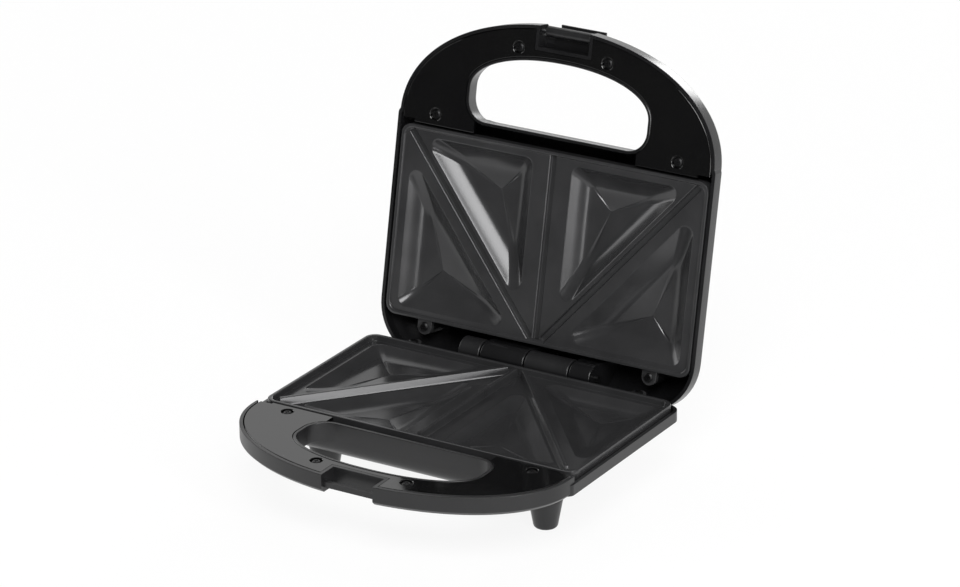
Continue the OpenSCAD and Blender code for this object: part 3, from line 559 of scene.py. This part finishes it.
def plate(name, land, depth):
    """Cast plate: skirt, round rim, land, four pockets with their bowls, and two screw lugs."""
    def ring(inset, z):
        return at(rounded_outline(PLATE_W / 2 - inset, inset - PLATE_D, -inset, PLATE_R - inset * 0.5,
                                  PLATE_R - inset * 0.5), z)

    back = land + 2.6
    skirt = ((RIM_W, back), (RIM_W, SKIRT_H - 0.3), (RIM_W - 0.3, SKIRT_H), (0.3, SKIRT_H),
             (0, SKIRT_H - 0.3), (0, 0.6), (0.12, 0.22), (0.5, 0), (RIM_W - 0.8, 0),
             (RIM_W - 0.3, 0.15), (RIM_W, 0.5), (RIM_W + 0.1, land - 0.4),
             (RIM_W + 0.3, land - 0.12), (RIM_W + 0.8, land))
    body = loft(name, [ring(inset, z) for inset, z in skirt])
    bottom = land + depth + 0.8 + 2.6
    tools = []
    for tri in (INNER_POCKET, OUTER_POCKET):
        for side in (-1, 1):
            shape = [(side * -x, y) for x, y in tri]
            weld(body, bowl(shape, land, bottom))
            tools.append(pocket(shape, land, depth))
    cut(body, *tools)
    for side in (-1, 1):
        x, y = side * LUG[0], LUG[1]
        outline = (arc((x, y), LUG_R, 0, 180, 24) + [(x - LUG_R, -1.2), (x + LUG_R, -1.2)])
        weld(body, loft("lug", [at(outline, LUG_Z), at(outline, 2.6),
                                at([(x + (px - x) * 0.96, py - 0.1) for px, py in outline], 2.4)]))
        cut(body, rod("lug_hole", (x, y, 4), 1.5, 6, sides=24))
    return body


def lower_plate():
    land = 3.8
    body = plate("lower_plate", land, 5.4)
    half = [(0.7, -0.8), (1.1, -0.66), (1.35, -0.35), (2.1, land - 0.7), (2.45, land - 0.25),
            (2.7, land + 0.4)]
    section = [(-x, z) for x, z in reversed(half)] + half
    for start, end in fan_lines(0):
        weld(body, bar("divider", start, end, section, 1.6))
    return body


def upper_plate():
    land = 1.2
    body = plate("upper_plate", land, 8.0)
    depth = land + 1.9
    half = [(2.9, land - 1), (2.45, land + 0.1), (2.1, land + 0.4), (1.9, depth - 0.5), (1.4, depth)]
    section = [(-2.9, land - 1)] + half + [(-x, z) for x, z in reversed(half[1:])]
    for start, end in fan_lines(0.8):
        start, end = Vector(start), Vector(end)
        along = (end - start).normalized()
        across = Vector((along.y, -along.x))
        cut(body, loft("groove", [[(p.x + across.x * x, p.y + across.y * x, z) for x, z in section]
                                  for p in (start, end)]))
    return body


# ---------------------------------------------------------------- latch, feet

def latch_piece():
    """Modelled hooked, about its own axis: barrel, blade down the front and hook under the bar."""
    half, reach = 15.55, 18.05
    body = rod("latch_piece", (0, 0, 0), 3.3, 2 * half, axis="X", sides=48, soft=0.4)
    hook = ((-3.3, 0.6), (-3.1, 0.15), (-2.7, 0), (-0.5, 0), (-0.15, 0.15), (-0.05, 0.5), (-0.05, 1.2),
            (-0.3, 1.5), (-1.5, 1.5), (-1.8, 1.8))
    profile = [(-3.3, 0)] + [(y, up - reach) for y, up in hook] + [(-1.8, 0)]
    weld(body, loft("blade", [[(x, y * narrow, z * shorten) for y, z in profile]
                              for x, narrow, shorten in ((-half, 0.97, 0.985), (0.4 - half, 1, 1),
                                                         (half - 0.4, 1, 1), (half, 0.97, 0.985))]))
    cut(body, rod("pin_bore", (0, 0, 0), 1.26, 40, axis="X", sides=32))
    return body


def foot_piece(name, x, y):
    """Tapered moulded foot with a screw well in its sole."""
    top, sole = FOOT_TOP, FOOT_SOLE
    profile = [(0.6, top), (FOOT_R, top), (FOOT_R, top + 0.6), (10.25, top + 1), (8.9, top + 8.4),
               (7.45, sole - 1.6), (7.1, sole - 0.8), (6.5, sole - 0.2), (6.0, sole), (4.0, sole),
               (3.6, sole - 0.4), (3.6, sole - 8), (1.51, sole - 8), (1.5, top + 1), (0.7, top + 0.5)]
    return loft(name, turned_profile((-x, y), profile, 64))


# ---------------------------------------------------------------- materials

def linear(hex_colour):
    """An sRGB hex colour as linear RGBA."""
    parts = [int(hex_colour[i:i + 2], 16) / 255 for i in (1, 3, 5)]
    return [p / 12.92 if p <= 0.04045 else ((p + 0.055) / 1.055) ** 2.4 for p in parts] + [1.0]


def add(tree, kind, settings=None, **inputs):
    """Adds a node, sets its properties, and sets or links its inputs by name or number."""
    node = tree.nodes.new(kind)
    for key, value in (settings or {}).items():
        setattr(node, key, value)
    for key, value in inputs.items():
        key = key.replace("_", " ")
        socket = node.inputs[int(key[1:])] if key[0] == "n" and key[1:].isdigit() else node.inputs[key]
        if isinstance(value, bpy.types.NodeSocket):
            tree.links.new(value, socket)
        else:
            socket.default_value = value
    return node


def ramp(tree, factor, stops):
    """A colour ramp with the given (place, colour) stops."""
    node = add(tree, "ShaderNodeValToRGB", n0=factor)
    elements = node.color_ramp.elements
    elements[0].position, elements[0].color = stops[0]
    elements[1].position, elements[1].color = stops[-1]
    for place, colour in stops[1:-1]:
        elements.new(place).color = colour
    return node.outputs["Color"]


def surface(name, low, high, rough, grain_mm, bump, cloud_mm=30.0, rough_spread=0.06,
            stretch=(1, 1, 1), **shader):
    """A material whose colour drifts between two tones, with a fine grain in its roughness and bump."""
    material = bpy.data.materials.new(name)
    material.use_nodes = True
    tree = material.node_tree
    tree.nodes.clear()
    place = add(tree, "ShaderNodeTexCoord").outputs["Object"]
    place = add(tree, "ShaderNodeMapping", Vector=place, Scale=stretch).outputs["Vector"]
    cloud = add(tree, "ShaderNodeTexNoise", Vector=place, Scale=1 / (cloud_mm * MM),
                Detail=3.0).outputs["Fac"]
    grain = add(tree, "ShaderNodeTexNoise", Vector=place, Scale=1 / (grain_mm * MM),
                Detail=2.0).outputs["Fac"]
    colour = ramp(tree, cloud, [(0.3, linear(low)), (0.7, linear(high))])
    roughness = add(tree, "ShaderNodeMapRange", Value=cloud, To_Min=rough - rough_spread / 2,
                    To_Max=rough + rough_spread / 2, From_Min=0.3, From_Max=0.7).outputs["Result"]
    relief = add(tree, "ShaderNodeBump", Height=grain, Strength=bump,
                 Distance=grain_mm * MM * 0.2).outputs["Normal"]
    shell = add(tree, "ShaderNodeBsdfPrincipled", Base_Color=colour, Roughness=roughness, Normal=relief)
    for key, value in shader.items():
        shell.inputs[key.replace("_", " ")].default_value = value
    add(tree, "ShaderNodeOutputMaterial", Surface=shell.outputs["BSDF"])
    return material


# Polished ABS: a mould with a mirror finish gives deep, sharp reflections with a faint waviness.
gloss_abs = surface("polished_abs", "#060607", "#0a0a0a", 0.08, 9.0, 0.008, rough_spread=0.04, IOR=1.53)
# Moulded PP with a spark-eroded texture: satin, with grain about 0.35 mm across.
satin_pp = surface("satin_moulding", "#151516", "#1c1c1d", 0.36, 0.35, 0.12, IOR=1.5)
# The lid is moulded in the same plastic with a finer, brighter finish.
lid_pp = surface("lid_moulding_plastic", "#101011", "#161617", 0.24, 0.35, 0.06, IOR=1.5)
# Non-stick coating on cast aluminium: sprayed PTFE, satin, with flecks of about 0.5 mm.
coating = surface("nonstick_coating", "#333334", "#3b3b3c", 0.2, 0.5, 0.03, cloud_mm=25.0,
                  rough_spread=0.03, IOR=1.5, Metallic=0.3)
# Rubbery feet: PP with a softer mould finish.
foot_pp = surface("foot_plastic", "#161617", "#1d1d1e", 0.34, 0.5, 0.1, IOR=1.5)
# Turned steel: fine lines round the pin, drawn coarser than real so that they show.
pin_steel = surface("turned_steel", "#8c8c8e", "#b4b4b6", 0.28, 0.4, 0.15, stretch=(1, 0.1, 0.1),
                    Metallic=1.0)
# Zinc-plated screw steel: slightly blue, cloudy.
screw_steel = surface("zinc_plated_steel", "#8a8c90", "#b0b2b6", 0.32, 0.6, 0.1, cloud_mm=3.0,
                      Metallic=1.0)
# Blackened screw steel: dark oxide with a dull shine. On the plate screws its darkness is also painted
# shade, standing in for heads that sit about 1.5 mm lower in the lugs.
blackened_and_shade_screw = surface("blackened_steel", "#101011", "#1b1b1c", 0.38, 0.5, 0.15, cloud_mm=3.0,
                     Metallic=0.6)
# Heater sheath: oxidised stainless tube.
heater_steel = surface("oxidised_steel_tube", "#4c463f", "#6d665c", 0.42, 0.6, 0.2, cloud_mm=6.0,
                       Metallic=1.0)
# Rolled aluminium sheet: bright, with fine rolling lines along X.
sheet_alu = surface("rolled_aluminium", "#b2b3b5", "#cdced0", 0.3, 0.6, 0.15, stretch=(0.06, 1, 1),
                    Metallic=1.0)
# Spring strip of the heater clips: grey, with a faint grain.
spring_steel = surface("spring_steel", "#87888a", "#a9aaac", 0.3, 0.5, 0.1, Metallic=1.0)
# Moulded rubber of the cord collar.
rubber = surface("moulded_rubber", "#101010", "#191919", 0.6, 0.5, 0.25, IOR=1.52)
# Ivory thermoset of the terminal block.
ivory = surface("ivory_thermoset", "#cfc8b4", "#ddd6c3", 0.5, 0.4, 0.15, IOR=1.55)
# Phenolic body of the thermostat.
bakelite = surface("brown_bakelite", "#2a1f18", "#38291f", 0.35, 0.5, 0.1, IOR=1.6)
# Glazed ceramic body of the thermal fuse.
ceramic = surface("fuse_ceramic", "#b9ad8d", "#cbbf9f", 0.5, 0.4, 0.15, IOR=1.55)
# Indicator lenses: tinted polycarbonate.
red_lens = surface("red_polycarbonate", "#6d0f0d", "#8a1512", 0.12, 4.0, 0.03, IOR=1.58,
                   Transmission_Weight=0.35)
green_lens = surface("green_polycarbonate", "#0f4a1c", "#156126", 0.12, 4.0, 0.03, IOR=1.58,
                     Transmission_Weight=0.35)

CAD_FINISHES = {
    "base_heater": heater_steel, "lid_heater": heater_steel, "base_heater_clips": spring_steel,
    "lid_heater_clips": spring_steel, "base_reflector": sheet_alu, "lid_reflector": sheet_alu,
    "base_reflector_screws": screw_steel, "lid_reflector_screws": screw_steel,
    # The plate screws' dark steel is partly painted shade: on the real toaster their heads sit lower in
    # the lugs.
    "base_plate_screws": blackened_and_shade_screw, "lid_plate_screws": blackened_and_shade_screw, "foot_screws": screw_steel,
    "base_cover_screws": blackened_and_shade_screw, "lid_cover_screws": blackened_and_shade_screw, "hinge_pin": blackened_and_shade_screw,
    "latch_pin": pin_steel, "cord_grommet": rubber, "terminal_block": ivory, "thermostat": bakelite,
    "thermal_fuse": ceramic, "power_lamp": red_lens, "ready_lamp": green_lens,
    "base_housing": satin_pp, "lid_housing": lid_pp, "base_plate": coating, "lid_plate": coating,
    "base_handle_cover": gloss_abs, "lid_handle_cover": gloss_abs, "latch": satin_pp,
    "foot_front_left": foot_pp, "foot_front_right": foot_pp, "foot_rear_left": foot_pp,
    "foot_rear_right": foot_pp,
}
for node_name, node_object in frame["nodes"].items():
    node_object.data.materials.clear()
    node_object.data.materials.append(CAD_FINISHES[node_name])

# ---------------------------------------------------------------- the toaster's own pieces

finish_piece(base_moulding(), BASE_SEAT, "base", "base_moulding", satin_pp, "base_housing")
finish_piece(lid_moulding(), LID_SEAT, "lid", "lid_moulding", lid_pp, "lid_housing")
finish_piece(handle_cover("base_cover"), BASE_SEAT, "base", "cover", gloss_abs, "base_handle_cover")
finish_piece(handle_cover("lid_cover"), LID_SEAT, "lid", "cover", gloss_abs, "lid_handle_cover")
finish_piece(lower_plate(), BASE_SEAT, "base", "plate_coating", coating, "base_plate")
finish_piece(upper_plate(), LID_SEAT, "lid", "plate_coating", coating, "lid_plate")
finish_piece(latch_piece(), LATCH_SEAT, "latch", "latch_moulding", satin_pp, "latch")
for foot_name, foot_x, foot_y in FEET:
    finish_piece(foot_piece(foot_name + "_turned", foot_x, foot_y), BASE_SEAT, "base", "foot_moulding",
                 foot_pp, foot_name)

# ---------------------------------------------------------------- floor, light and camera

def white_sheet(name, place, size, upright, share):
    """Studio paper: what the camera and the reflections see of it is white, and it keeps shadows."""
    bpy.ops.object.select_all(action="DESELECT")
    bpy.ops.mesh.primitive_plane_add(size=1, location=place,
                                     rotation=(math.pi / 2 if upright else 0, 0, 0))
    sheet = named(name)
    sheet.scale = (size[0], size[1], 1)
    bpy.ops.object.transform_apply(location=True, rotation=True, scale=True)
    material = bpy.data.materials.new(name)
    material.use_nodes = True
    tree = material.node_tree
    tree.nodes.clear()
    path = add(tree, "ShaderNodeLightPath")
    seen = add(tree, "ShaderNodeMath", {"operation": "MAXIMUM"}, n0=path.outputs["Is Camera Ray"],
               n1=path.outputs["Is Glossy Ray"]).outputs[0]
    paper = add(tree, "ShaderNodeBsdfDiffuse", Color=linear("#ffffff"))
    glow = add(tree, "ShaderNodeEmission", Color=(1, 1, 1, 1), Strength=1.0)
    part = add(tree, "ShaderNodeMath", {"operation": "MULTIPLY"}, n0=seen, n1=share).outputs[0]
    mixed = add(tree, "ShaderNodeMixShader", n0=part, n1=paper.outputs[0], n2=glow.outputs[0])
    add(tree, "ShaderNodeOutputMaterial", Surface=mixed.outputs[0])
    sheet.data.materials.append(material)


def stage_paper():
    """Floor and backdrop. They end in front, so that the upright lid mirrors a dark room."""
    white_sheet("studio_floor", (0, 0.9, 0), (5.0, 3.6), False, 0.9)
    white_sheet("studio_backdrop", (0, 2.65, 1.3), (6.0, 2.7), True, 1.0)


def studio_light():
    """A dim room, and softboxes placed where the plates and the covers mirror them."""
    world = bpy.data.worlds.new("studio")
    bpy.context.scene.world = world
    world.use_nodes = True
    tree = world.node_tree
    tree.nodes.clear()
    path = add(tree, "ShaderNodeLightPath")
    seen = path.outputs["Is Camera Ray"]
    room = add(tree, "ShaderNodeBackground", Color=(1, 1, 1, 1), Strength=0.09)
    white = add(tree, "ShaderNodeBackground", Color=(1, 1, 1, 1), Strength=1.0)
    mixed = add(tree, "ShaderNodeMixShader", n0=seen, n1=room.outputs[0], n2=white.outputs[0])
    add(tree, "ShaderNodeOutputWorld", Surface=mixed.outputs[0])
    for name, place, aim, size, power in (
            ("softbox_front", (0.78, -1.24, 1.5), (0, 0, 0.1), (0.9, 0.9), 30),
            ("softbox_front_low", (0.95, -1.95, 0.22), (0, 0, 0.12), (0.3, 0.35), 2.5),
            ("softbox_right", (1.95, -1.15, 0.3), (0, 0, 0.15), (0.7, 0.55), 10),
            ("strip_right", (1.7, -0.7, 1.1), (0, 0, 0.05), (0.35, 1.3), 15),
            ("softbox_left", (-1.9, 0.1, 0.7), (0, 0, 0.05), (1.4, 1.2), 14),
            ("softbox_rim", (-0.05, 2.3, 1.03), (0, 0, 0.2), (0.8, 0.9), 18),
            ("softbox_over", (-0.9, 1.2, 1.9), (0, 0, 0), (1.2, 0.8), 5)):
        bpy.ops.object.light_add(type="AREA", location=place)
        lamp = bpy.context.active_object
        lamp.name = name
        lamp.data.shape = "RECTANGLE"
        lamp.data.size, lamp.data.size_y = size
        lamp.data.energy = power
        lamp.rotation_euler = (Vector(aim) - Vector(place)).to_track_quat("-Z", "Y").to_euler()


def photo_camera():
    """The photograph's view: fitted by its corners, in the closed toaster's directions."""
    target = Vector((-22.478, -9.822 + REAR_Y, 46.811 + PARTING_Z)) * MM
    azimuth, elevation, roll = math.radians(31.406), math.radians(22.069), math.radians(-0.466)
    way = Vector((math.sin(azimuth) * math.cos(elevation), -math.cos(azimuth) * math.cos(elevation),
                  math.sin(elevation)))
    bpy.ops.object.camera_add(location=target + way * 2.755695)
    camera = bpy.context.active_object
    turn = way.to_track_quat("Z", "Y").to_matrix() @ Matrix.Rotation(roll, 3, "Z")
    camera.rotation_euler = turn.to_euler()
    camera.data.sensor_width = 36
    camera.data.lens = 36 * 4530.656 / 960
    bpy.context.scene.camera = camera


stage_paper()
studio_light()
photo_camera()
bpy.context.scene.view_settings.view_transform = "Standard"
